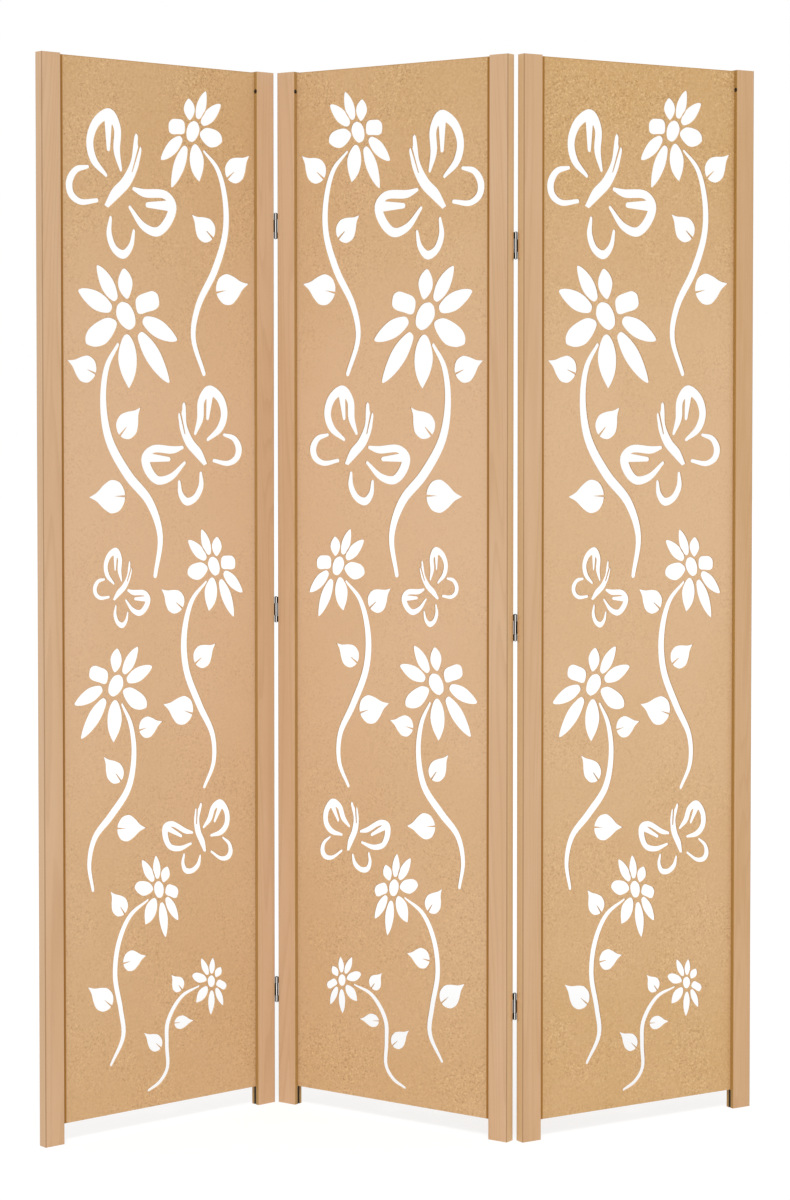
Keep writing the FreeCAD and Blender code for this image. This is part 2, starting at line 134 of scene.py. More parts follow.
short_petal_shares = [
    (0.00, 0.14, 0.14), (0.20, 0.66, 0.70), (0.48, 1.00, 1.00), (0.74, 0.82, 0.84), (0.93, 0.42, 0.40),
    (1.00, 0.16, 0.14),
]
flower_middle_shares = [
    (0.00, 0.36, 0.30), (0.14, 0.74, 0.70), (0.44, 1.00, 0.98), (0.76, 0.90, 0.92), (0.95, 0.45, 0.50),
    (1.00, 0.22, 0.26),
]
leaf_outline_shares = [(0.0, 0.0), (0.20, 0.26), (0.40, 0.72), (0.60, 1.0), (0.84, 0.86), (0.97, 0.40)]

petal_shares = [
    ((0.13, 0.28), (0.36, 0.85), 0.26, long_petal_shares),
    ((0.24, 0.17), (0.75, 0.59), 0.29, long_petal_shares),
    ((0.19, -0.05), (0.78, -0.19), 0.40, round_petal_shares),
    ((0.06, -0.27), (0.18, -1.04), 0.38, drop_petal_shares),
    ((-0.17, -0.32), (-0.55, -1.17), 0.30, long_petal_shares),
    ((-0.28, -0.14), (-0.82, -0.60), 0.29, long_petal_shares),
    ((-0.20, 0.09), (-0.62, 0.09), 0.32, square_petal_shares),
    ((-0.07, 0.24), (-0.09, 0.68), 0.30, short_petal_shares),
    ((-0.07, -0.20), (0.09, 0.21), 0.33, flower_middle_shares),
]
flower_spot_shares = [
    ((0.676, 4.118), (0.200, 0.006), (0.000, 0.202), 1.00),
    ((0.336, 3.333), (-0.273, -0.084), (-0.058, 0.275), 0.90),
    ((0.786, 2.273), (-0.182, 0.007), (-0.003, 0.184), 1.00),
    ((0.274, 1.794), (0.214, -0.078), (0.046, 0.214), 0.89),
    ((0.494, 0.915), (-0.152, 0.064), (0.043, 0.145), 1.00),
    ((0.766, 0.489), (-0.118, 0.070), (0.058, 0.089), 0.94),
]

stem_shares = [
    [(0.736, 4.038, 0.012), (0.806, 3.967, 0.024), (0.845, 3.850, 0.030), (0.848, 3.700, 0.033),
     (0.792, 3.537, 0.036), (0.704, 3.383, 0.032), (0.678, 3.250, 0.028), (0.733, 3.095, 0.022)],
    [(0.292, 3.212, 0.016), (0.238, 3.123, 0.027), (0.218, 2.980, 0.033), (0.246, 2.820, 0.041),
     (0.341, 2.670, 0.044), (0.450, 2.555, 0.041), (0.504, 2.410, 0.031), (0.478, 2.245, 0.022)],
    [(0.742, 2.208, 0.012), (0.668, 2.132, 0.024), (0.627, 1.990, 0.032), (0.637, 1.840, 0.034),
     (0.706, 1.682, 0.033), (0.775, 1.550, 0.027), (0.779, 1.430, 0.024), (0.731, 1.332, 0.017)],
    [(0.308, 1.712, 0.012), (0.350, 1.628, 0.023), (0.367, 1.500, 0.028), (0.338, 1.360, 0.033),
     (0.251, 1.253, 0.035), (0.169, 1.167, 0.029), (0.141, 1.060, 0.023), (0.159, 0.950, 0.016)],
    [(0.436, 0.878, 0.010), (0.346, 0.823, 0.022), (0.288, 0.718, 0.026), (0.268, 0.580, 0.026),
     (0.296, 0.432, 0.025), (0.308, 0.319, 0.024), (0.247, 0.208, 0.015)],
    [(0.700, 0.478, 0.008), (0.608, 0.445, 0.019), (0.537, 0.348, 0.024), (0.531, 0.250, 0.022),
     (0.533, 0.151, 0.020), (0.494, 0.098, 0.018), (0.436, 0.070, 0.012)],
]

leaf_shares = [
    ((0.978, 4.034), (0.858, 3.929), 0.106),
    ((0.670, 3.769), (0.783, 3.671), 0.106),
    ((0.972, 3.483), (0.798, 3.441), 0.132),
    ((0.043, 3.145), (0.183, 3.091), 0.112),
    ((0.407, 2.954), (0.300, 2.834), 0.112),
    ((0.146, 2.581), (0.328, 2.582), 0.138),
    ((0.508, 2.187), (0.619, 2.100), 0.100),
    ((0.793, 1.942), (0.683, 1.862), 0.100),
    ((0.517, 1.699), (0.671, 1.649), 0.122),
    ((0.514, 1.627), (0.393, 1.598), 0.090),
    ((0.213, 1.503), (0.302, 1.392), 0.086),
    ((0.427, 1.184), (0.280, 1.196), 0.110),
    ((0.246, 0.936), (0.318, 0.832), 0.083),
    ((0.427, 0.643), (0.308, 0.625), 0.087),
    ((0.132, 0.548), (0.251, 0.453), 0.096),
    ((0.554, 0.546), (0.611, 0.473), 0.066),
    ((0.673, 0.333), (0.569, 0.337), 0.057),
    ((0.413, 0.317), (0.502, 0.240), 0.070),
]
VEIN_LENGTH_SHARE = 0.30
VEIN_WIDTH_SHARE = 0.035

wing_line_shares = [
    [(-0.30, 0.18, 0.06), (-0.55, 0.42, 0.13), (-0.62, 0.72, 0.14), (-0.48, 1.03, 0.15),
     (-0.22, 1.16, 0.16), (-0.07, 0.94, 0.14), (-0.08, 0.58, 0.13), (0.00, 0.28, 0.06)],
    [(0.26, -0.02, 0.06), (0.46, -0.08, 0.12), (0.92, -0.10, 0.13), (1.06, -0.27, 0.16),
     (0.96, -0.53, 0.16), (0.74, -0.70, 0.14), (0.46, -0.62, 0.12), (0.18, -0.32, 0.06)],
]
wing_tine_shares = [
    ((-0.25, 1.14), (-0.25, 0.60), 0.18, 0.08),
    ((1.02, -0.27), (0.54, -0.27), 0.18, 0.09),
]
hind_line_shares = [
    [(-0.66, 0.30, 0.05), (-0.90, 0.24, 0.10), (-1.03, 0.05, 0.13), (-1.00, -0.14, 0.12),
     (-0.82, -0.26, 0.09), (-0.48, -0.23, 0.06)],
    [(-0.21, -0.50, 0.06), (-0.24, -0.76, 0.11), (-0.13, -1.00, 0.12), (0.05, -1.08, 0.13),
     (0.20, -0.94, 0.10), (0.26, -0.70, 0.06)],
]
# the body's cut up one side, round one feeler, down the sliver of board, round the other and back
body_up_shares = [(-0.34, -0.30), (-0.18, -0.04), (0.02, 0.14), (0.20, 0.43), (0.25, 0.70), (0.28, 0.84),
                  (0.315, 0.875), (0.352, 0.84), (0.352, 0.72), (0.362, 0.655)]
sliver_tip_share = (0.23, 0.25)
body_down_shares = [(0.382, 0.650), (0.41, 0.665), (0.428, 0.62), (0.40, 0.48), (0.35, 0.31), (0.185, 0.025),
                    (-0.05, -0.18), (-0.26, -0.345)]
butterfly_spot_shares = [
    ((0.310, 3.866), (0.247, 0.003), (0.000, 0.258), 1.10),
    ((0.680, 2.782), (-0.229, 0.017), (0.025, 0.213), 1.20),
    ((0.306, 2.193), (0.128, -0.007), (0.002, 0.138), 1.30),
    ((0.708, 1.121), (-0.153, 0.087), (0.064, 0.132), 1.20),
]


def curve_span(a, b, c, d):
    """Points from b up to c on the curve that passes through a, b, c and d in turn."""
    a, b, c, d = (np.array(p, float) for p in (a, b, c, d))
    first = math.dist(a[:2], b[:2]) ** 0.5
    second = first + math.dist(b[:2], c[:2]) ** 0.5
    third = second + math.dist(c[:2], d[:2]) ** 0.5
    points = []
    for step in range(CURVE_STEPS):
        knot = first + (second - first) * step / CURVE_STEPS
        ab = a + (b - a) * knot / first
        bc = b + (c - b) * (knot - first) / (second - first)
        cd = c + (d - c) * (knot - second) / (third - second)
        abc = ab + (bc - ab) * knot / second
        bcd = bc + (cd - bc) * (knot - first) / (third - first)
        points.append(tuple(abc + (bcd - abc) * (knot - first) / (second - first)))
    return points


def smooth_open(points):
    """A smooth line through the points, from the first to the last."""
    before = 2 * np.array(points[0]) - np.array(points[1])
    after = 2 * np.array(points[-1]) - np.array(points[-2])
    line = [before, *points, after]
    spans = [curve_span(*line[i:i + 4]) for i in range(len(line) - 3)]
    return [p for span in spans for p in span] + [tuple(points[-1])]


def smooth_closed(points):
    """A smooth ring through the points."""
    ring = [points[-1], *points, points[0], points[1]]
    spans = [curve_span(*ring[i:i + 4]) for i in range(len(points))]
    return [p for span in spans for p in span]


def stroke_sides(line):
    """The two sides of a smooth cut that follows a line of points, each with its width."""
    dense = smooth_open(line)
    left, right = [], []
    for i, (x, z, width) in enumerate(dense):
        ax, az, _ = dense[max(i - 1, 0)]
        bx, bz, _ = dense[min(i + 1, len(dense) - 1)]
        run = math.dist((ax, az), (bx, bz))
        across = ((az - bz) / run * width / 2, (bx - ax) / run * width / 2)
        left.append((x + across[0], z + across[1]))
        right.append((x - across[0], z - across[1]))
    return left, right


def cap(start, end):
    """The round end of a cut, between the ends of its two sides and clockwise from the first."""
    middle = ((start[0] + end[0]) / 2, (start[1] + end[1]) / 2)
    radius = math.dist(start, end) / 2
    turn = math.atan2(start[1] - middle[1], start[0] - middle[0])
    turns = [turn - math.pi * k / CAP_STEPS for k in range(1, CAP_STEPS)]
    return [(middle[0] + radius * math.cos(t), middle[1] + radius * math.sin(t)) for t in turns]


def closed_stroke(left, right):
    """A cut's outline: up its left side, round the end, back down the right side and round the start."""
    return left + cap(left[-1], right[-1]) + right[::-1] + cap(right[0], left[0])


def crossing(side, start, end):
    """Where a straight cut from start to end meets a side: its place along the side, and the point."""
    dx, dz = end[0] - start[0], end[1] - start[1]
    for i, ((ax, az), (bx, bz)) in enumerate(zip(side, side[1:])):
        turn = dx * (bz - az) - dz * (bx - ax)
        if turn == 0:
            continue
        along_cut = ((ax - start[0]) * (bz - az) - (az - start[1]) * (bx - ax)) / turn
        along_side = ((ax - start[0]) * dz - (az - start[1]) * dx) / turn
        if 0 <= along_cut <= 1 and 0 <= along_side <= 1:
            return i + along_side, (start[0] + dx * along_cut, start[1] + dz * along_cut)
    raise ValueError("the tine doesn't meet the side of its stroke")


def with_tine(side, root, tip, root_width, tip_width):
    """A side of a stroke with a tapering round-ended tine let into it."""
    run = math.dist(root, tip)
    across = ((root[1] - tip[1]) / run / 2, (tip[0] - root[0]) / run / 2)
    hits = []
    for way in (-1, 1):
        start = tuple(root[k] + way * across[k] * root_width for k in (0, 1))
        end = tuple(tip[k] + way * across[k] * tip_width for k in (0, 1))
        hits.append((*crossing(side, start, end), end))
    (first, enter, tip_in), (last, leave, tip_out) = sorted(hits)
    round_end = cap(tip_in, tip_out)
    outward = (tip[0] - root[0], tip[1] - root[1])
    middle = round_end[len(round_end) // 2]
    if (middle[0] - tip[0]) * outward[0] + (middle[1] - tip[1]) * outward[1] < 0:
        round_end = cap(tip_out, tip_in)[::-1]
    return side[:int(first) + 1] + [enter, tip_in, *round_end, tip_out, leave] + side[int(last) + 1:]


def petal(inner, outer, width, outline):
    """A petal between two ends, there along its left side and back along its right one."""
    (ax, az), (bx, bz) = inner, outer
    run = math.dist(inner, outer)
    across = ((az - bz) / run * width / 2, (bx - ax) / run * width / 2)
    there, back = [], []
    for along, left, right in outline:
        x, z = ax + (bx - ax) * along, az + (bz - az) * along
        there.append((x + across[0] * left, z + across[1] * left))
        back.append((x - across[0] * right, z - across[1] * right))
    return smooth_closed(there + back[::-1])


def leaf(tip, end, width):
    """A leaf with its sharp tip, and the sliver of board that runs in from its round end as a vein."""
    (ax, az), (bx, bz) = tip, end
    run = math.dist(tip, end)
    along = ((bx - ax) / run, (bz - az) / run)
    across = (-along[1], along[0])

    def at(reach, wide):
        return (ax + along[0] * reach * run + across[0] * wide,
                az + along[1] * reach * run + across[1] * wide)

    vein = VEIN_WIDTH_SHARE * width
    up = [at(reach, wide * width / 2) for reach, wide in leaf_outline_shares] + [at(1, vein)]
    down = [at(reach, -wide * width / 2) for reach, wide in leaf_outline_shares[::-1]]
    return smooth_open(up) + [at(1 - VEIN_LENGTH_SHARE, vein / 4)] + smooth_open([at(1, -vein)] + down)[:-1]


def placed(cut, middle, right, up):
    """A cut carried from its motif's frame to the sheet."""
    return [tuple(middle[k] + x * right[k] + z * up[k] for k in (0, 1)) for x, z in cut]


def flower(fullness):
    return [petal(inner, outer, width * fullness, outline) for inner, outer, width, outline in petal_shares]


def fuller(line, fullness):
    """A line of points with its widths changed."""
    return [(x, z, width * fullness) for x, z, width in line]


def butterfly(fullness):
    cuts = [closed_stroke(*stroke_sides(fuller(line, fullness))) for line in hind_line_shares]
    for line, tine in zip(wing_line_shares, wing_tine_shares):
        left, right = stroke_sides(fuller(line, fullness))
        cuts.append(closed_stroke(left, with_tine(right, *tine)))
    cuts.append(smooth_open(body_up_shares) + [sliver_tip_share] + smooth_open(body_down_shares))
    return cuts


def fretwork():
    """Every opening of a sheet, in shares of its open width."""
    cuts = []
    for motif, spots in ((flower, flower_spot_shares), (butterfly, butterfly_spot_shares)):
        for *marks, fullness in spots:
            cuts += [placed(cut, *marks) for cut in motif(fullness)]
    cuts += [closed_stroke(*stroke_sides(line)) for line in stem_shares]
    cuts += [leaf(tip, end, width) for tip, end, width in leaf_shares]
    return cuts


# meshes

PLACE_ATTRIBUTE = "own_place"


def area_of(ring):
    return sum(ax * by - bx * ay for (ax, ay), (bx, by) in zip(ring, ring[1:] + ring[:1])) / 2


def inset(ring, by):
    """The ring moved to its left by a small distance, with sharp corners held to twice that."""
    points = [Vector(p) for p in ring]
    moved = []
    for before, here, after in zip(points[-1:] + points[:-1], points, points[1:] + points[:1]):
        first, second = (here - before).normalized(), (after - here).normalized()
        normal = Vector((-first.y - second.y, first.x + second.x))
        share = 2 / max(1 + first.dot(second), 0.5)
        moved.append(tuple(here + normal / 2 * min(share, 2) * by))
    return moved


def board(name, outer, holes, thickness, arris, material, edge_material=None):
    """A flat board in X and Y, centred on Z 0, with square-cut walls and every edge eased."""
    rings = [outer if area_of(outer) > 0 else outer[::-1]]
    rings += [hole if area_of(hole) < 0 else hole[::-1] for hole in holes]
    shape = bmesh.new()
    half = thickness / 2
    rims = {half: [], -half: []}
    for ring in rings:
        eased = inset(ring, arris)
        levels = ((eased, half), (ring, half - arris), (ring, arris - half), (eased, -half))
        loops = [[shape.verts.new((x, y, z)) for x, y in points] for points, z in levels]
        for upper, lower in zip(loops, loops[1:]):
            for k in range(len(ring)):
                after = (k + 1) % len(ring)
                wall = shape.faces.new((upper[k], lower[k], lower[after], upper[after]))
                wall.material_index = 1 if edge_material else 0
                wall.smooth = True
        rims[half] += [shape.edges.get((loops[0][k - 1], loops[0][k])) for k in range(len(ring))]
        rims[-half] += [shape.edges.get((loops[-1][k - 1], loops[-1][k])) for k in range(len(ring))]
    for level, rim in rims.items():
        bmesh.ops.triangle_fill(shape, edges=rim, use_beauty=True, normal=(0, 0, level))
    bmesh.ops.recalc_face_normals(shape, faces=shape.faces)
    return mesh_from(shape, name, material, *([edge_material] if edge_material else []))


def raise_walls(shape, loops):
    """Smooth faces from each loop of points up to the next."""
    for lower, upper in zip(loops, loops[1:]):
        for k in range(len(lower)):
            after = (k + 1) % len(lower)
            shape.faces.new((lower[k], lower[after], upper[after], upper[k])).smooth = True


def prism(outline, low, high, arris):
    """A column of the outline, in X and Y, from low to high, with eased ends."""
    ring = outline if area_of(outline) > 0 else outline[::-1]
    shape = bmesh.new()
    eased = inset(ring, arris)
    levels = ((eased, low), (ring, low + arris), (ring, high - arris), (eased, high))
    loops = [[shape.verts.new((x, y, z)) for x, y in points] for points, z in levels]
    raise_walls(shape, loops)
    shape.faces.new(loops[0][::-1])
    shape.faces.new(loops[-1])
    bmesh.ops.recalc_face_normals(shape, faces=shape.faces)
    return shape


def lathe(profile, steps):
    """A turned solid round Z from points of radius and height, its ends on the axis."""
    shape = bmesh.new()
    rings = []
    for radius, height in profile:
        turns = [2 * math.pi * k / steps for k in range(steps)] if radius else [0]
        rings.append([shape.verts.new((radius * math.cos(t), radius * math.sin(t), height)) for t in turns])
    for lower, upper in zip(rings, rings[1:]):
        for k in range(steps):
            corners = [lower[k % len(lower)], lower[(k + 1) % len(lower)], upper[(k + 1) % len(upper)],
                       upper[k % len(upper)]]
            shape.faces.new(list(dict.fromkeys(corners))).smooth = True
    bmesh.ops.recalc_face_normals(shape, faces=shape.faces)
    return shape


def mesh_from(shape, name, *materials):
    mesh = bpy.data.meshes.new(name)
    shape.to_mesh(mesh)
    shape.free()
    for material in materials:
        mesh.materials.append(material)
    mesh.set_sharp_from_angle(angle=math.radians(SMOOTH_UP_TO_DEG))
    return mesh


def joined(name, meshes, *materials):
    """One mesh of several."""
    shape = bmesh.new()
    for mesh in meshes:
        shape.from_mesh(mesh)
        bpy.data.meshes.remove(mesh)
    return mesh_from(shape, name, *materials)


def keep_places(mesh, step):
    """Writes each point's place on its own piece into the mesh, moved by a step, for materials to read."""
    kept = mesh.attributes.new(PLACE_ATTRIBUTE, "FLOAT_VECTOR", "POINT")
    for point, value in zip(mesh.vertices, kept.data):
        value.vector = point.co + Vector(step)


def piece(name, mesh, body, slot_name, where, *nodes):
    """Sets a mesh in place, hangs it on its body and hides the imported nodes it stands for."""
    mesh.transform(where)
    if where.determinant() < 0:
        mesh.flip_normals()
    item = bpy.data.objects.new(name, mesh)
    bpy.context.scene.collection.objects.link(item)
    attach(item, body)
    if nodes:
        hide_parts(*nodes)
    return item


# materials

def srgb(*levels):
    """A colour as written in an image, 0 to 255, as the linear colour that shaders take."""
    def linear(level):
        share = level / 255
        return share / 12.92 if share <= 0.04045 else ((share + 0.055) / 1.055) ** 2.4
    return (*map(linear, levels), 1.0)


# the board's colours, and where its painted shadow, the darker line under its top and its painted light are
BOARD_YELLOW, BOARD_PINK, BOARD_PALE = srgb(199, 158, 102), srgb(217, 180, 143), srgb(224, 188, 146)
SPECK_DARK, SPECK_PALE = srgb(150, 106, 58), srgb(240, 206, 150)
CUT_EDGE_DARK, CUT_EDGE_PALE = srgb(196, 154, 106), srgb(224, 188, 142)
# the brown of the painted shadow beside the post at the sheet's left end, also used for the darker line under
# its top
PAINTED_SHADOW_BROWN = srgb(158, 105, 20)
PAINTED_SHADOW_REACH = 7.7 * MM
PAINTED_SHADOW_FADE = 1.3 * MM
SAWN_FROM_TOP = (1.6 * MM, 0.8 * MM)
SHEET_HEIGHT = PANEL_HEIGHT - SHEET_LOW - SHEET_TOP_INSET
# painted light: the board paler and pinker towards this height, fading out towards the heights below and
# above
PAINTED_LIGHT_PEAK_HEIGHT = 1030 * MM
PAINTED_LIGHT_END_HEIGHTS = (-350 * MM, PANEL_HEIGHT)
PAINTED_LIGHT_PEAK_SHARE = 0.74
# painted light per sheet: the left and middle sheets paler and pinker, against the shade where they face each
# other across the left fold
BOARD_PAINTED_LIGHT = {"left": 0.26, "middle": 0.26, "right": 0.0}

# the pine's colours, and how far its painted shade, painted shadow, painted light and darker arrises reach
PINE_YELLOW, PINE_PINK, PINE_PALE = srgb(198, 156, 110), srgb(214, 178, 142), srgb(220, 186, 148)
PINE_LATE, PINE_SHADED, PINE_ARRIS_DARK = srgb(172, 128, 84), srgb(160, 118, 34), srgb(140, 100, 62)
# painted light for the outer sides of the right fold's posts, and painted shadow for the groove below the
# sheet
PINE_PAINTED_LIGHT, GROOVE_PAINTED_SHADOW = srgb(226, 193, 144), srgb(38, 28, 16)
POST_PAINTED_LIGHT_SHARE = 0.5
GROOVED_FACE_SKIN = 0.6 * MM
GROOVE_FLOOR_SKIN = 0.5 * MM
GROOVE_SHADOW_HALF_WIDTH = 2.8 * MM
OUTER_SIDE_SKIN = 0.05 * MM
POST_END_SKIN = 0.1 * MM
ARRIS_DARK_REACH = 1.4 * MM
RING_LINES = 26
PINE_PINKNESS = {
    "left_panel_outer_post": 0.70, "left_panel_hinge_post": 0.75,
    "middle_panel_left_post": 0.75, "middle_panel_right_post": 0.70,
    "right_panel_hinge_post": 0.42, "right_panel_outer_post": 0.10,
}

# the hinges' colours, painted highlight and painted shade among them, and the painted highlight line down a
# barrel: half its width in radii, and which way it faces
HINGE_PAINTED_HIGHLIGHT, HINGE_PAINTED_SHADE, HINGE_BRASS = srgb(250, 249, 247), srgb(20, 16, 13), srgb(222, 184, 138)
# the hinge pins' near black is painted shade at the barrel's ends; the sheet pins' is their own colour
HINGE_PIN_PAINTED_SHADE, SHEET_PIN_BLACK = srgb(40, 35, 30), srgb(36, 28, 24)
HINGE_METAL_SHARE = 0.42
BARREL_PAINTED_HIGHLIGHT_SHARE = 0.25
BARREL_PAINTED_HIGHLIGHT_EDGE_SHARE = 0.05
BARREL_PAINTED_HIGHLIGHT_ASIDE = 0.2 * MM
BARREL_PAINTED_HIGHLIGHT_DEG = 37
BRASS_FROM = LEAF_ROOT + 0.9 * MM


def new_material(name, roughness, metallic=0.0):
    """A principled material, with its nodes, links and shader."""
    material = bpy.data.materials.new(name)
    material.use_nodes = True
    shader = material.node_tree.nodes["Principled BSDF"]
    shader.inputs["Roughness"].default_value = roughness
    shader.inputs["Metallic"].default_value = metallic
    return material, material.node_tree.nodes, material.node_tree.links, shader


def stretched_place(nodes, links, scale):
    """Object coordinates, scaled on each axis."""
    place = nodes.new("ShaderNodeTexCoord")
    mapping = nodes.new("ShaderNodeMapping")
    mapping.inputs["Scale"].default_value = scale
    links.new(place.outputs["Object"], mapping.inputs["Vector"])
    return mapping.outputs["Vector"]


def noise(nodes, links, place, scale, detail=2.0, roughness=0.5, distortion=0.0):
    texture = nodes.new("ShaderNodeTexNoise")
    texture.inputs["Scale"].default_value = scale
    texture.inputs["Detail"].default_value = detail
    texture.inputs["Roughness"].default_value = roughness
    texture.inputs["Distortion"].default_value = distortion
    links.new(place, texture.inputs["Vector"])
    return texture.outputs["Fac"]


def band(nodes, links, value, low, high, start=0.0, end=1.0):
    """A value's stretch from low to high spread over start to end, held outside it."""
    spread = nodes.new("ShaderNodeMapRange")
    spread.interpolation_type = "SMOOTHSTEP"
    for socket, number in (("From Min", low), ("From Max", high), ("To Min", start), ("To Max", end)):
        spread.inputs[socket].default_value = number
    links.new(value, spread.inputs["Value"])
    return spread.outputs["Result"]


def maths(nodes, links, operation, first, second=0.0):
    """Sum, product or the like of one or two values, each a socket or a number."""
    node = nodes.new("ShaderNodeMath")
    node.operation = operation
    for socket, value in zip(node.inputs, (first, second)):
        if isinstance(value, (int, float)):
            socket.default_value = value
        else:
            links.new(value, socket)
    return node.outputs["Value"]


def mixed(nodes, links, share, first, second):
    """Two colours, each a socket or a colour, mixed by a share."""
    node = nodes.new("ShaderNodeMix")
    node.data_type = "RGBA"
    links.new(share, node.inputs["Factor"])
    for name, value in (("A_Color", first), ("B_Color", second)):
        socket = next(s for s in node.inputs if s.identifier == name)
        if isinstance(value, tuple):
            socket.default_value = value
        else:
            links.new(value, socket)
    return next(s for s in node.outputs if s.identifier == "Result_Color")


def laid_over(nodes, links, ground, colour, where, strength):
    """A ground with a colour laid over the places where a value is 1."""
    return mixed(nodes, links, maths(nodes, links, "MULTIPLY", where, strength), ground, colour)


def bump(nodes, links, shader, height, strength, distance):
    node = nodes.new("ShaderNodeBump")
    node.inputs["Strength"].default_value = strength
    node.inputs["Distance"].default_value = distance
    links.new(height, node.inputs["Height"])
    links.new(node.outputs["Normal"], shader.inputs["Normal"])


def own_place(nodes):
    """A point's place on its own piece, as keep_places wrote it."""
    attribute = nodes.new("ShaderNodeAttribute")
    attribute.attribute_name = PLACE_ATTRIBUTE
    return attribute.outputs["Vector"]


def axis_of(nodes, links, place, axis):
    split = nodes.new("ShaderNodeSeparateXYZ")
    links.new(place, split.inputs["Vector"])
    return split.outputs[axis]


def make_board_material(name, pinkness):
    """Bare fibreboard, specked most at its ends: painted light makes it palest above its middle, and a
    painted shadow darkens it along its left groove.
    """
    material, nodes, links, shader = new_material(name, 0.72)
    place = own_place(nodes)
    height = axis_of(nodes, links, place, "Y")
    # painted light: a pool of light painted over the board's middle height
    paler = maths(nodes, links, "MINIMUM", *[band(nodes, links, height, end, PAINTED_LIGHT_PEAK_HEIGHT, 0.0, PAINTED_LIGHT_PEAK_SHARE)
                                             for end in PAINTED_LIGHT_END_HEIGHTS])
    drift = band(nodes, links, noise(nodes, links, place, 5.0, 3.0), 0.36, 0.64, -0.06, 0.06)
    # the pink share holds the painted light over the middle height and per sheet, and a random drift of tone
    pink = maths(nodes, links, "ADD", maths(nodes, links, "ADD", paler, drift), pinkness)
    ground = mixed(nodes, links, pink, BOARD_YELLOW, BOARD_PINK)
    felt = noise(nodes, links, place, 240.0, 4.0, 0.65)
    ground = mixed(nodes, links, band(nodes, links, felt, 0.35, 0.65, 0.0, 0.25), ground, BOARD_PALE)
    patches = band(nodes, links, noise(nodes, links, place, 9.0, 3.0, 0.6), 0.38, 0.64, 0.3, 1.0)
    specks = noise(nodes, links, place, 330.0, 1.5, 0.45)
    rougher = maths(nodes, links, "SUBTRACT", 1.0, maths(nodes, links, "MULTIPLY", paler, 0.85))
    patches = maths(nodes, links, "MULTIPLY", patches, rougher)
    dark = maths(nodes, links, "MULTIPLY", band(nodes, links, specks, 0.56, 0.69, 0.0, 0.5), patches)
    pale = maths(nodes, links, "MULTIPLY", band(nodes, links, specks, 0.44, 0.31, 0.0, 0.5), patches)
    ground = mixed(nodes, links, dark, ground, SPECK_DARK)
    ground = mixed(nodes, links, pale, ground, SPECK_PALE)
    aside = axis_of(nodes, links, place, "X")
    # painted shadow: the board darkened beside its left post, where the post shades it
    painted_shadow = band(nodes, links, aside, PAINTED_SHADOW_REACH, PAINTED_SHADOW_REACH + PAINTED_SHADOW_FADE, 0.93, 0.0)
    ground = mixed(nodes, links, painted_shadow, ground, PAINTED_SHADOW_BROWN)
    # a darker line along the face just under the sheet's top edge, in the same brown
    sawn = band(nodes, links, height, *[SHEET_HEIGHT - depth for depth in SAWN_FROM_TOP], 0.0, 0.5)
    ground = mixed(nodes, links, sawn, ground, PAINTED_SHADOW_BROWN)
    links.new(ground, shader.inputs["Base Color"])
    bump(nodes, links, shader, felt, 0.25, 0.15 * MM)
    return material


def make_cut_edge_material():
    """The sheet's sawn edges: as bright as the faces, with short fibres."""
    material, nodes, links, shader = new_material("fret_sheet_cut_edge", 0.85)
    fibres = noise(nodes, links, own_place(nodes), 900.0, 3.0, 0.6)
    colour = mixed(nodes, links, band(nodes, links, fibres, 0.35, 0.65), CUT_EDGE_DARK, CUT_EDGE_PALE)
    links.new(colour, shader.inputs["Base Color"])
    bump(nodes, links, shader, fibres, 0.4, 0.1 * MM)
    return material


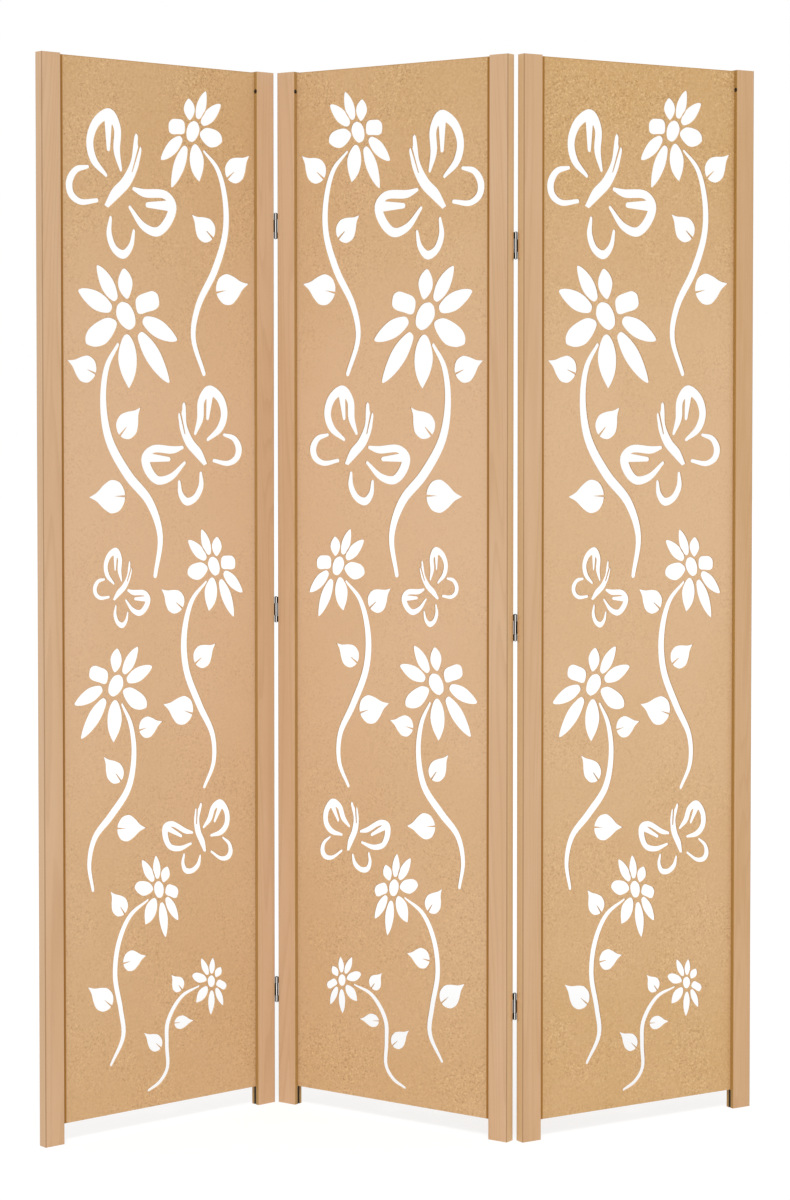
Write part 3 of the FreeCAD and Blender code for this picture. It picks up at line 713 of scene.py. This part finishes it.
def make_post_material(name, where, seed, pinkness, painted_light_share):
    """Planed softwood: long grain, darker sawn ends and darker outer arrises, with painted shade on the
    grooved face, a painted shadow in the groove below the sheet and painted light on the outer sides of the
    posts at the right fold.

    The mapping brings a point back to the post's own frame, which has the groove at its far X side.
    """
    material, nodes, links, shader = new_material(name, 0.55)
    own = where.inverted()
    mapping = nodes.new("ShaderNodeMapping")
    mapping.inputs["Location"].default_value = own.to_translation()
    mapping.inputs["Rotation"].default_value = own.to_euler()
    coordinates = nodes.new("ShaderNodeTexCoord")
    links.new(coordinates.outputs["Object"], mapping.inputs["Vector"])
    place = mapping.outputs["Vector"]

    def stretched(along):
        longer = nodes.new("ShaderNodeMapping")
        longer.inputs["Location"].default_value = (seed, seed * 0.7, seed * 1.3)
        longer.inputs["Scale"].default_value = (1, 1, along)
        links.new(place, longer.inputs["Vector"])
        return longer.outputs["Vector"]

    rings = noise(nodes, links, stretched(0.045), 11.0, 2.0, 0.45, 0.6)
    lines = maths(nodes, links, "FRACT", maths(nodes, links, "MULTIPLY", rings, RING_LINES))
    late_wood = maths(nodes, links, "MULTIPLY", band(nodes, links, lines, 0.45, 0.92),
                      band(nodes, links, lines, 1.0, 0.93))
    fibres = noise(nodes, links, stretched(0.02), 900.0, 3.0, 0.6)
    drift = noise(nodes, links, stretched(0.10), 22.0, 2.0, 0.5)
    pink = band(nodes, links, drift, 0.35, 0.65, pinkness - 0.15, pinkness + 0.15)
    ground = mixed(nodes, links, pink, PINE_YELLOW, PINE_PINK)
    ground = laid_over(nodes, links, ground, PINE_LATE, late_wood, 0.17)
    ground = mixed(nodes, links, band(nodes, links, fibres, 0.40, 0.75, 0.0, 0.18), ground, PINE_PALE)
    across, deep, height = (axis_of(nodes, links, place, axis) for axis in "XYZ")
    grooved = maths(nodes, links, "GREATER_THAN", across, POST_WIDTH - GROOVED_FACE_SKIN)
    ground = laid_over(nodes, links, ground, PINE_SHADED, grooved, 0.75)
    # painted shadow: near black in the groove and round its mouth below the sheet, as the shade inside the
    # open groove
    from_groove = maths(nodes, links, "ABSOLUTE", maths(nodes, links, "SUBTRACT", deep, POST_DEPTH / 2))
    below_sheet = band(nodes, links, height, SHEET_LOW, SHEET_LOW - 1 * MM, 0.0, 0.95)
    inward = maths(nodes, links, "GREATER_THAN", across, POST_WIDTH - GROOVE_DEPTH - GROOVE_FLOOR_SKIN)
    beside = maths(nodes, links, "LESS_THAN", from_groove, GROOVE_SHADOW_HALF_WIDTH)
    in_groove = maths(nodes, links, "MULTIPLY", beside, inward)
    ground = mixed(nodes, links, maths(nodes, links, "MULTIPLY", below_sheet, in_groove), ground, GROOVE_PAINTED_SHADOW)
    # painted light: the outer sides of the two posts at the right fold made paler, against the shade where
    # they face each other
    outer_side = maths(nodes, links, "LESS_THAN", across, OUTER_SIDE_SKIN)
    ground = laid_over(nodes, links, ground, PINE_PAINTED_LIGHT, outer_side, painted_light_share)
    # darker along the outer arrises
    nearer_face = maths(nodes, links, "MINIMUM", deep, maths(nodes, links, "SUBTRACT", POST_DEPTH, deep))
    arris = maths(nodes, links, "LESS_THAN", maths(nodes, links, "ADD", across, nearer_face), ARRIS_DARK_REACH)
    ground = laid_over(nodes, links, ground, PINE_ARRIS_DARK, arris, 0.6)
    over_top = maths(nodes, links, "GREATER_THAN", height, PANEL_HEIGHT - POST_END_SKIN)
    under_foot = maths(nodes, links, "LESS_THAN", height, POST_END_SKIN)
    at_end = maths(nodes, links, "MAXIMUM", over_top, under_foot)
    ground = laid_over(nodes, links, ground, PINE_LATE, at_end, 0.55)
    links.new(ground, shader.inputs["Base Color"])
    links.new(band(nodes, links, fibres, 0.3, 0.7, 0.62, 0.50), shader.inputs["Roughness"])
    bump(nodes, links, shader, fibres, 0.18, 0.12 * MM)
    return material


def make_hinge_material():
    """Steel: brassed plates, and a barrel painted near black as shade, with a painted highlight line down the
    side that the open fold shows.
    """
    material, nodes, links, shader = new_material("hinge_leaf_steel", 0.3, 1.0)
    shader.inputs["Specular IOR Level"].default_value = 0.05
    place = own_place(nodes)
    turn = math.radians(BARREL_PAINTED_HIGHLIGHT_DEG)
    from_post, depth = (axis_of(nodes, links, place, axis) for axis in "XY")
    aside = maths(nodes, links, "MULTIPLY", maths(nodes, links, "SUBTRACT", from_post, KNUCKLE_RADIUS),
                  math.cos(turn))
    ahead = maths(nodes, links, "MULTIPLY", maths(nodes, links, "ADD", depth, KNUCKLE_PROUD), math.sin(turn))
    across = maths(nodes, links, "ADD", maths(nodes, links, "SUBTRACT", aside, ahead), BARREL_PAINTED_HIGHLIGHT_ASIDE)
    # painted highlight: a near-white line down the barrel; painted shade: the rest of the barrel and the
    # plates' roots near black
    off_highlight = band(nodes, links, maths(nodes, links, "ABSOLUTE", across),
                    KNUCKLE_RADIUS * (BARREL_PAINTED_HIGHLIGHT_SHARE - BARREL_PAINTED_HIGHLIGHT_EDGE_SHARE),
                    KNUCKLE_RADIUS * (BARREL_PAINTED_HIGHLIGHT_SHARE + BARREL_PAINTED_HIGHLIGHT_EDGE_SHARE))
    brass = maths(nodes, links, "GREATER_THAN", depth, BRASS_FROM)
    painted_shade = maths(nodes, links, "MULTIPLY", off_highlight, maths(nodes, links, "SUBTRACT", 1.0, brass))
    polish = noise(nodes, links, place, 1400.0, 3.0, 0.6)
    shine = band(nodes, links, polish, 0.3, 0.7, 0.22, 0.36)
    matt = maths(nodes, links, "MAXIMUM", maths(nodes, links, "MULTIPLY", painted_shade, 0.5),
                 maths(nodes, links, "MULTIPLY", brass, 0.2))
    barrel = mixed(nodes, links, painted_shade, HINGE_PAINTED_HIGHLIGHT, HINGE_PAINTED_SHADE)
    links.new(mixed(nodes, links, brass, barrel, HINGE_BRASS), shader.inputs["Base Color"])
    plated = maths(nodes, links, "MULTIPLY", maths(nodes, links, "SUBTRACT", 1.0, painted_shade), HINGE_METAL_SHARE)
    links.new(plated, shader.inputs["Metallic"])
    links.new(maths(nodes, links, "ADD", shine, matt), shader.inputs["Roughness"])
    bump(nodes, links, shader, polish, 0.05, 0.05 * MM)
    return material


def make_near_black_metal(name, colour, roughness):
    """Near-black steel, uneven and all but matt: the sheet pins' own dark heads, and painted shade on the
    hinge pins.
    """
    material, nodes, links, shader = new_material(name, roughness)
    shader.inputs["Specular IOR Level"].default_value = 0.2
    place = stretched_place(nodes, links, (1, 1, 0.4))
    blotches = noise(nodes, links, place, 500.0, 3.0, 0.6)
    paler = tuple(min(2 * level, 1.0) for level in colour[:3]) + (1.0,)
    links.new(mixed(nodes, links, band(nodes, links, blotches, 0.45, 0.8, 0.0, 0.6), colour, paler),
              shader.inputs["Base Color"])
    links.new(band(nodes, links, blotches, 0.3, 0.7, roughness - 0.1, roughness + 0.1),
              shader.inputs["Roughness"])
    bump(nodes, links, shader, blotches, 0.1, 0.05 * MM)
    return material


# panels

def panel_places():
    """Each panel's frame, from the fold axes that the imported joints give."""
    turns = {panel: Matrix.Rotation(math.radians(deg), 4, "Z") for panel, deg in PANEL_TURNS_DEG.items()}
    from_axis = {
        "left": (fold_axes["left_fold"], (-PANEL_WIDTH - KNUCKLE_RADIUS, KNUCKLE_PROUD)),
        "middle": (fold_axes["left_fold"], (KNUCKLE_RADIUS, KNUCKLE_PROUD)),
        "right": (fold_axes["right_fold"], (KNUCKLE_RADIUS, -POST_DEPTH - KNUCKLE_PROUD)),
    }
    return {panel: Matrix.Translation(axis) @ turns[panel] @ Matrix.Translation(Vector(step).to_3d())
            for panel, (axis, step) in from_axis.items()}


fold_axes = {joint["name"]: Vector(joint["pos_m"][:2]).to_3d() for joint in frame["joints"]}
places = panel_places()
BACK_TO_FRONT = Matrix.Translation((PANEL_WIDTH, POST_DEPTH, 0)) @ Matrix.Rotation(math.pi, 4, "Z")
ON_EDGE = Matrix.Rotation(math.pi / 2, 4, "X")
# lays a shape drawn in X and Y on the plane of Y and Z, standing out along +X
ONTO_POST_SIDE = Matrix(((0, 0, 1, 0), (1, 0, 0, 0), (0, 1, 0, 0), (0, 0, 0, 1)))

edge_material = make_cut_edge_material()
hinge_metal = make_hinge_material()
# the hinge pins made near black as painted shade at the barrel's ends
pin_metal = make_near_black_metal("hinge_pin_steel", HINGE_PIN_PAINTED_SHADE, 0.6)
dark_metal = make_near_black_metal("sheet_pin_steel", SHEET_PIN_BLACK, 0.5)


def make_sheets():
    """The three fret-cut sheets, each the same board. The middle panel's is turned back to front."""
    open_width = PANEL_WIDTH - 2 * POST_WIDTH
    margin = GROOVE_DEPTH - SHEET_SIDE_PLAY
    low = (SHEET_HEIGHT - open_width * PATTERN_HEIGHT_SHARE) / 2
    ends = (-margin, open_width + margin)
    outer = [(ends[0], 0), (ends[1], 0), (ends[1], SHEET_HEIGHT), (ends[0], SHEET_HEIGHT)]
    holes = [[(x * open_width, low + z * open_width) for x, z in cut] for cut in fretwork()]
    mesh = board("fret_sheet", outer, holes, SHEET_THICKNESS, SHEET_ARRIS, edge_material, edge_material)
    seat = Matrix.Translation((POST_WIDTH, POST_DEPTH / 2, SHEET_LOW)) @ ON_EDGE
    for number, (panel, place) in enumerate(places.items()):
        own = mesh.copy()
        keep_places(own, (0, 0, number))
        own.materials[0] = make_board_material(f"{panel}_sheet_board", BOARD_PAINTED_LIGHT[panel])
        way = place @ BACK_TO_FRONT if panel == "middle" else place
        piece(f"{panel}_sheet", own, f"{panel}_panel", "fret_sheet_board", way @ seat, f"{panel}_fret_sheet")
    bpy.data.meshes.remove(mesh)


def finish_posts():
    """A pine of its own for each post. The post at each panel's right end is turned back to front."""
    turned = {"left_panel_hinge_post", "middle_panel_right_post", "right_panel_outer_post"}
    # the two posts at the right fold, whose outer sides get painted light
    painted_light_posts = {"middle_panel_right_post", "right_panel_hinge_post"}
    for seed, (name, pinkness) in enumerate(PINE_PINKNESS.items(), start=1):
        place = places[name.split("_")[0]]
        where = place @ BACK_TO_FRONT if name in turned else place
        node = frame["nodes"][name]
        node.data.materials.clear()
        painted_light_share = POST_PAINTED_LIGHT_SHARE if name in painted_light_posts else 0.0
        node.data.materials.append(make_post_material(name + "_pine", where, seed, pinkness, painted_light_share))


def rolled_knuckle():
    """The round of a knuckle: a strip rolled from the post's side of the pin all but back to itself."""
    turns = [math.radians(180 + KNUCKLE_ROLL_DEG * k / KNUCKLE_STEPS) for k in range(KNUCKLE_STEPS + 1)]

    def arc(radius, way):
        return [(KNUCKLE_RADIUS + radius * math.cos(t), radius * math.sin(t) - KNUCKLE_PROUD) for t in way]

    return arc(KNUCKLE_RADIUS, turns) + arc(KNUCKLE_RADIUS - LEAF_THICKNESS, turns[::-1])


def knuckle_heights(pinned):
    """The foot and head of each of a leaf's knuckles."""
    if pinned:
        return [(0, OUTER_KNUCKLE), (HINGE_HEIGHT - OUTER_KNUCKLE, HINGE_HEIGHT)]
    return [(OUTER_KNUCKLE + KNUCKLE_GAP, HINGE_HEIGHT - OUTER_KNUCKLE - KNUCKLE_GAP)]


def leaf_outline(heights):
    """A leaf seen square on: Y and Z, rounded at its far corners, with a neck at each knuckle."""
    points = [(LEAF_ROOT, 0)]
    for low, high in heights:
        points += [(LEAF_ROOT, low), (-KNUCKLE_PROUD, low), (-KNUCKLE_PROUD, high), (LEAF_ROOT, high)]
    points.append((LEAF_ROOT, HINGE_HEIGHT))
    points = [p for p, after in zip(points, points[1:] + points[:1]) if p != after]
    for middle_z, start in ((HINGE_HEIGHT - LEAF_CORNER, 90), (LEAF_CORNER, 0)):
        for k in range(CORNER_STEPS + 1):
            turn = math.radians(start - 90 * k / CORNER_STEPS)
            points.append((LEAF_REACH - LEAF_CORNER + LEAF_CORNER * math.cos(turn),
                           middle_z + LEAF_CORNER * math.sin(turn)))
    return points


def make_leaf(name, pinned):
    """A hinge leaf on the plane X 0, standing out along +X, with its knuckles in front and its two screws."""
    heights = knuckle_heights(pinned)
    plate = board("plate", leaf_outline(heights), [], LEAF_THICKNESS, HINGE_ARRIS, hinge_metal)
    plate.transform(Matrix.Translation((LEAF_THICKNESS / 2, 0, 0)) @ ONTO_POST_SIDE)
    rounds = [mesh_from(prism(rolled_knuckle(), low, high, HINGE_ARRIS), "round", hinge_metal)
              for low, high in heights]
    screws = [make_screw(height) for height in (SCREW_INSET, HINGE_HEIGHT - SCREW_INSET)]
    leaf_mesh = joined(name, [plate, *rounds, *screws], hinge_metal)
    keep_places(leaf_mesh, (0, 0, 0))
    return leaf_mesh


def make_screw(height):
    """A low domed screw head with a cross slot, on the leaf's open face."""
    arm, half = SCREW_RADIUS * SCREW_SLOT_ARM_SHARE, SCREW_RADIUS * SCREW_SLOT_HALF_SHARE
    corners = [(arm, -half), (arm, half), (half, half)]
    cross = [(x * math.cos(t) - y * math.sin(t), x * math.sin(t) + y * math.cos(t))
             for t in (math.radians(90 * k) for k in range(4)) for x, y in corners]
    turns = [2 * math.pi * k / SCREW_STEPS for k in range(SCREW_STEPS)]
    crown = SCREW_RADIUS * SCREW_CROWN_SHARE
    shape = bmesh.new()
    rings = []
    for radius, level in ((SCREW_RADIUS, -SCREW_SLOT_DEPTH), (SCREW_RADIUS, 0), (crown, SCREW_PROUD)):
        rings.append([shape.verts.new((radius * math.cos(t), radius * math.sin(t), level)) for t in turns])
    slot_rings = [[shape.verts.new((x, y, level)) for x, y in cross]
                  for level in (SCREW_PROUD, -SCREW_SLOT_DEPTH / 2)]
    raise_walls(shape, rings)
    raise_walls(shape, slot_rings[::-1])
    rim = [shape.edges.get((ring[k - 1], ring[k]))
           for ring in (rings[-1], slot_rings[0]) for k in range(len(ring))]
    bmesh.ops.triangle_fill(shape, edges=rim, use_beauty=True, normal=(0, 0, 1))
    shape.faces.new(rings[0][::-1])
    shape.faces.new(slot_rings[1])
    bmesh.ops.recalc_face_normals(shape, faces=shape.faces)
    mesh = mesh_from(shape, "screw", hinge_metal)
    seat = Matrix.Translation((LEAF_THICKNESS, (LEAF_ROOT + LEAF_REACH) / 2, height))
    mesh.transform(seat @ ONTO_POST_SIDE)
    return mesh


def make_hinge_pin(name):
    """A pin with a domed foot on Z 0 and a low round head on top of the barrel."""
    top = HINGE_HEIGHT + 2 * PIN_END_PROUD
    steps = [math.radians(90 * k / PIN_DOME_STEPS) for k in range(PIN_DOME_STEPS + 1)]
    foot = [(PIN_RADIUS * math.sin(t), PIN_DOME * (1 - math.cos(t))) for t in steps]
    head = [(PIN_HEAD_RADIUS * math.cos(t), top - PIN_END_PROUD * (1 - math.sin(t))) for t in steps[:-1]]
    neck = [(PIN_RADIUS, top - PIN_END_PROUD)]
    return mesh_from(lathe(foot + neck + head + [(0, top)], PIN_STEPS), name, pin_metal)


def build_hinges():
    """The six hinges. The middle panel carries the pinned leaves and the pins of both folds."""
    mirror = Matrix.Scale(-1, 4, (1, 0, 0))
    seats = {
        "left": (places["left"] @ Matrix.Translation((PANEL_WIDTH, 0, 0)), places["middle"] @ mirror),
        "right": (places["right"] @ Matrix.Translation((0, POST_DEPTH, 0)) @ Matrix.Rotation(math.pi, 4, "Z"),
                  places["middle"] @ BACK_TO_FRONT @ mirror),
    }
    for fold, (plain_seat, pinned_seat) in seats.items():
        pitch = (HIGHEST_HINGE[fold] - LOWEST_HINGE[fold]) / (len(HINGE_LEVELS) - 1)
        for number, level in enumerate(HINGE_LEVELS):
            lift = Matrix.Translation((0, 0, LOWEST_HINGE[fold] + number * pitch - HINGE_HEIGHT / 2))
            name = f"{fold}_fold_{level}"
            piece(name + "_plain", make_leaf(name + "_plain", False), f"{fold}_panel", "hinge_leaf_steel",
                  plain_seat @ lift, name + "_plain_leaf")
            piece(name + "_pinned", make_leaf(name + "_pinned", True), "middle_panel", "hinge_leaf_steel",
                  pinned_seat @ lift, name + "_pinned_leaf")
            axis = Matrix.Translation(fold_axes[fold + "_fold"])
            piece(name + "_pin_turned", make_hinge_pin(name + "_pin_turned"), "middle_panel",
                  "hinge_pin_steel", axis @ Matrix.Translation((0, 0, -PIN_END_PROUD)) @ lift, name + "_pin")


def add_sheet_pins():
    """The dark round head near the top of each panel's far post, on the face that the groove is in."""
    steps = [math.radians(90 * k / SHEET_PIN_DOME_STEPS) for k in range(SHEET_PIN_DOME_STEPS + 1)]
    dome = [(SHEET_PIN_RADIUS * math.sin(t), SHEET_PIN_PROUD * math.cos(t)) for t in steps]
    facing = Matrix.Rotation(-math.pi / 2, 4, "Y")
    for panel, place in places.items():
        way = place if panel != "middle" else place @ BACK_TO_FRONT
        depth = SHEET_PIN_IN if panel != "middle" else POST_DEPTH - SHEET_PIN_IN
        seat = Matrix.Translation((PANEL_WIDTH - POST_WIDTH, depth, PANEL_HEIGHT - SHEET_PIN_DOWN))
        head = mesh_from(lathe(dome + [(0, 0)], SHEET_PIN_STEPS), f"{panel}_sheet_pin", dark_metal)
        piece(f"{panel}_sheet_pin", head, f"{panel}_panel", "hinge_pin_steel", way @ seat @ facing)


make_sheets()
finish_posts()
build_hinges()
add_sheet_pins()

# stage: a white floor that keeps a faint shadow, and a white world

FLOOR_HALF = 30.0
FLOOR_GREY = 0.8
FLOOR_GLOW = 0.76
FLOOR_SHADOW_SHARE = 0.26
WORLD_LIGHT = 0.72
SUN_STRENGTH = 1.5
SUN_HEIGHT_DEG = 55
SUN_SPREAD_DEG = 20


def seen_directly(nodes, links):
    """1 for rays from the camera, a mirror or glass."""
    rays = nodes.new("ShaderNodeLightPath").outputs
    seen = maths(nodes, links, "MAXIMUM", rays["Is Camera Ray"], rays["Is Glossy Ray"])
    return maths(nodes, links, "MAXIMUM", seen, rays["Is Transmission Ray"])


def make_floor():
    material = bpy.data.materials.new("floor")
    material.use_nodes = True
    nodes, links = material.node_tree.nodes, material.node_tree.links
    nodes.clear()
    plain, shaded = nodes.new("ShaderNodeBsdfDiffuse"), nodes.new("ShaderNodeBsdfDiffuse")
    plain.inputs["Color"].default_value = (*[FLOOR_GREY] * 3, 1)
    shaded.inputs["Color"].default_value = (*[FLOOR_SHADOW_SHARE] * 3, 1)
    glow = nodes.new("ShaderNodeEmission")
    glow.inputs["Strength"].default_value = FLOOR_GLOW
    both, choice = nodes.new("ShaderNodeAddShader"), nodes.new("ShaderNodeMixShader")
    output = nodes.new("ShaderNodeOutputMaterial")
    links.new(shaded.outputs[0], both.inputs[0])
    links.new(glow.outputs[0], both.inputs[1])
    links.new(seen_directly(nodes, links), choice.inputs[0])
    links.new(plain.outputs[0], choice.inputs[1])
    links.new(both.outputs[0], choice.inputs[2])
    links.new(choice.outputs[0], output.inputs["Surface"])
    mesh = bpy.data.meshes.new("floor")
    corners = [(x * FLOOR_HALF, y * FLOOR_HALF, 0) for x, y in ((-1, -1), (1, -1), (1, 1), (-1, 1))]
    mesh.from_pydata(corners, [], [(0, 1, 2, 3)])
    mesh.materials.append(material)
    floor = bpy.data.objects.new("floor", mesh)
    bpy.context.scene.collection.objects.link(floor)


def light_world():
    world = bpy.data.worlds.new("studio")
    world.use_nodes = True
    nodes, links = world.node_tree.nodes, world.node_tree.links
    background = nodes["Background"]
    background.inputs["Color"].default_value = (1, 1, 1, 1)
    strength = maths(nodes, links, "MAXIMUM", seen_directly(nodes, links), WORLD_LIGHT)
    links.new(strength, background.inputs["Strength"])
    bpy.context.scene.world = world


def add_sun():
    """A soft sun from straight ahead, which lights every panel alike."""
    lamp = bpy.data.lights.new("sun", "SUN")
    lamp.energy = SUN_STRENGTH
    lamp.angle = math.radians(SUN_SPREAD_DEG)
    item = bpy.data.objects.new("sun", lamp)
    item.rotation_euler = (math.radians(90 - SUN_HEIGHT_DEG), 0, 0)
    bpy.context.scene.collection.objects.link(item)


def add_camera():
    camera = bpy.data.cameras.new("camera")
    camera.sensor_fit = "VERTICAL"
    camera.sensor_height = SENSOR_HEIGHT_MM
    camera.lens = SENSOR_HEIGHT_MM * FOCAL_PX / IMAGE_HEIGHT_PX
    camera.shift_y = -CENTRE_ABOVE_MIDDLE_PX / IMAGE_HEIGHT_PX
    item = bpy.data.objects.new("camera", camera)
    item.location = CAMERA_PLACE
    item.rotation_euler = (math.radians(90 - CAMERA_DOWN_DEG), 0, 0)
    bpy.context.scene.collection.objects.link(item)
    bpy.context.scene.camera = item


make_floor()
light_world()
add_sun()
add_camera()
bpy.context.scene.view_settings.view_transform = "Standard"
